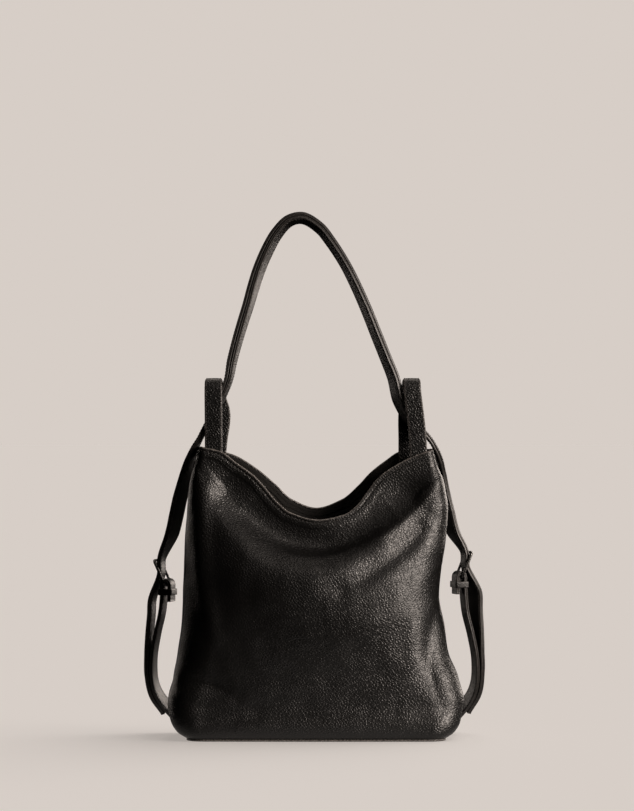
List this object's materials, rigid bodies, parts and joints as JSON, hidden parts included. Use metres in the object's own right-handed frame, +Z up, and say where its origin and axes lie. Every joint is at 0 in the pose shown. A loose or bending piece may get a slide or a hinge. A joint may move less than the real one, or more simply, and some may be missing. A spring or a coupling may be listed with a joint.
{
  "type": "convertible backpack",
  "caption": "Soft black leather bag with a sagging open mouth, one long strap through two top loops as a handle, and buckled side straps for wearing on the back",
  "frame": {"origin": "on the floor under the middle of the bag, where its flat base rests", "axes": "+X to the bag's left-to-right as seen from the front, +Y from the front to the back, +Z up"},
  "size_m": [0.3895, 0.1304, 0.6083],
  "materials": {
    "body_leather": "pebbled, soft satin",
    "strap_leather": "fine grain, satin, edges painted",
    "buckle_metal": "dark polished"
  },
  "bodies": {
    "root": {"front_panel": "body_leather", "back_panel": "body_leather", "base_panel": "body_leather", "shoulder_strap": "strap_leather", "left_loop": "strap_leather", "right_loop": "strap_leather", "left_lower_strap": "strap_leather", "right_lower_strap": "strap_leather", "left_keeper": "strap_leather", "right_keeper": "strap_leather", "left_buckle": "buckle_metal", "right_buckle": "buckle_metal"}
  },
  "joints": []
}
